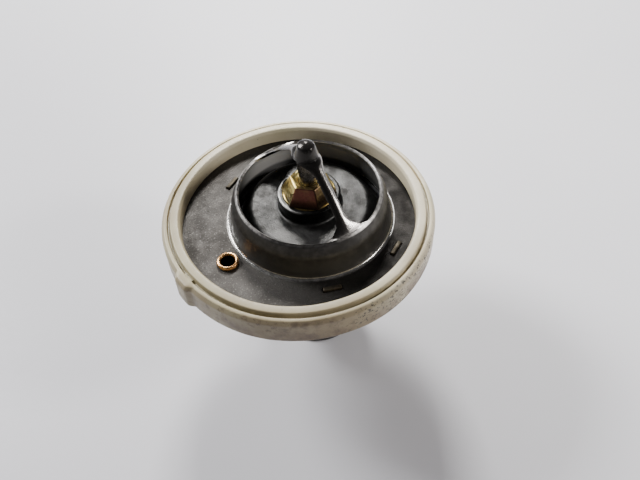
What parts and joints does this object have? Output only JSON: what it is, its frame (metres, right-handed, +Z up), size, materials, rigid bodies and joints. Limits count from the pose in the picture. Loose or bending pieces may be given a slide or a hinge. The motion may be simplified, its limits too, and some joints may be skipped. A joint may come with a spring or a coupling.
{
  "type": "engine coolant thermostat",
  "caption": "Flange-type wax thermostat: stainless flange and bridge in a pale rubber rim gasket, hat-shaped main valve, wax element and sprung bypass disc.",
  "frame": {"origin": "on the axis of the rim gasket, in the plane of the bypass disc's foot, on which the part stands", "axes": "+Z up along the gasket's axis, towards the bridge; -Y towards the viewer; the valve axis is parallel to Z at x 2.7 mm, y 0.7 mm"},
  "size_m": [0.06, 0.06, 0.0578],
  "materials": {
    "stainless": "drawn sheet, dull and stained",
    "gasket_rubber": "matt off-white, stained",
    "valve_steel": "brushed, scratched",
    "black_rubber": "matt",
    "piston_steel": "ground, dark",
    "spring_steel": "drawn wire",
    "brass": "turned, tarnished",
    "copper": "drawn, tarnished",
    "wax": "solid wax with copper powder",
    "ptfe": "smooth"
  },
  "bodies": {
    "frame": {"flange_bridge": "stainless", "gasket": "gasket_rubber", "lower_frame": "stainless", "piston": "piston_steel", "main_spring": "spring_steel"},
    "element": {"main_valve": "valve_steel", "valve_seal": "black_rubber", "valve_snap_ring": "spring_steel", "piston_guide": "brass", "guide_seal": "black_rubber", "backup_washer": "ptfe", "rubber_sleeve": "black_rubber", "wax_case": "copper", "wax_charge": "wax", "bypass_stem": "brass", "spring_plate": "valve_steel", "bypass_clip": "spring_steel", "bypass_spring": "spring_steel"},
    "bypass_valve": {"bypass_disc": "valve_steel"},
    "jiggle": {"jiggle_pin": "copper"}
  },
  "joints": [
    {"name": "valve_lift", "type": "slide", "parent": "element", "child": "frame", "axis": [0, 0, 1], "range_m": [0, 0.0085], "stiffness_N_per_m": 400, "springref_m": -0.006, "deforming": ["main_spring"]},
    {"name": "bypass_slide", "type": "slide", "parent": "element", "child": "bypass_valve", "axis": [0, 0, 1], "range_m": [0, 0.002], "stiffness_N_per_m": 300, "springref_m": -0.008, "deforming": ["bypass_spring"]},
    {"name": "jiggle_slide", "type": "slide", "parent": "frame", "child": "jiggle", "axis": [0, 0, 1], "range_m": [0, 0.0012]}
  ]
}
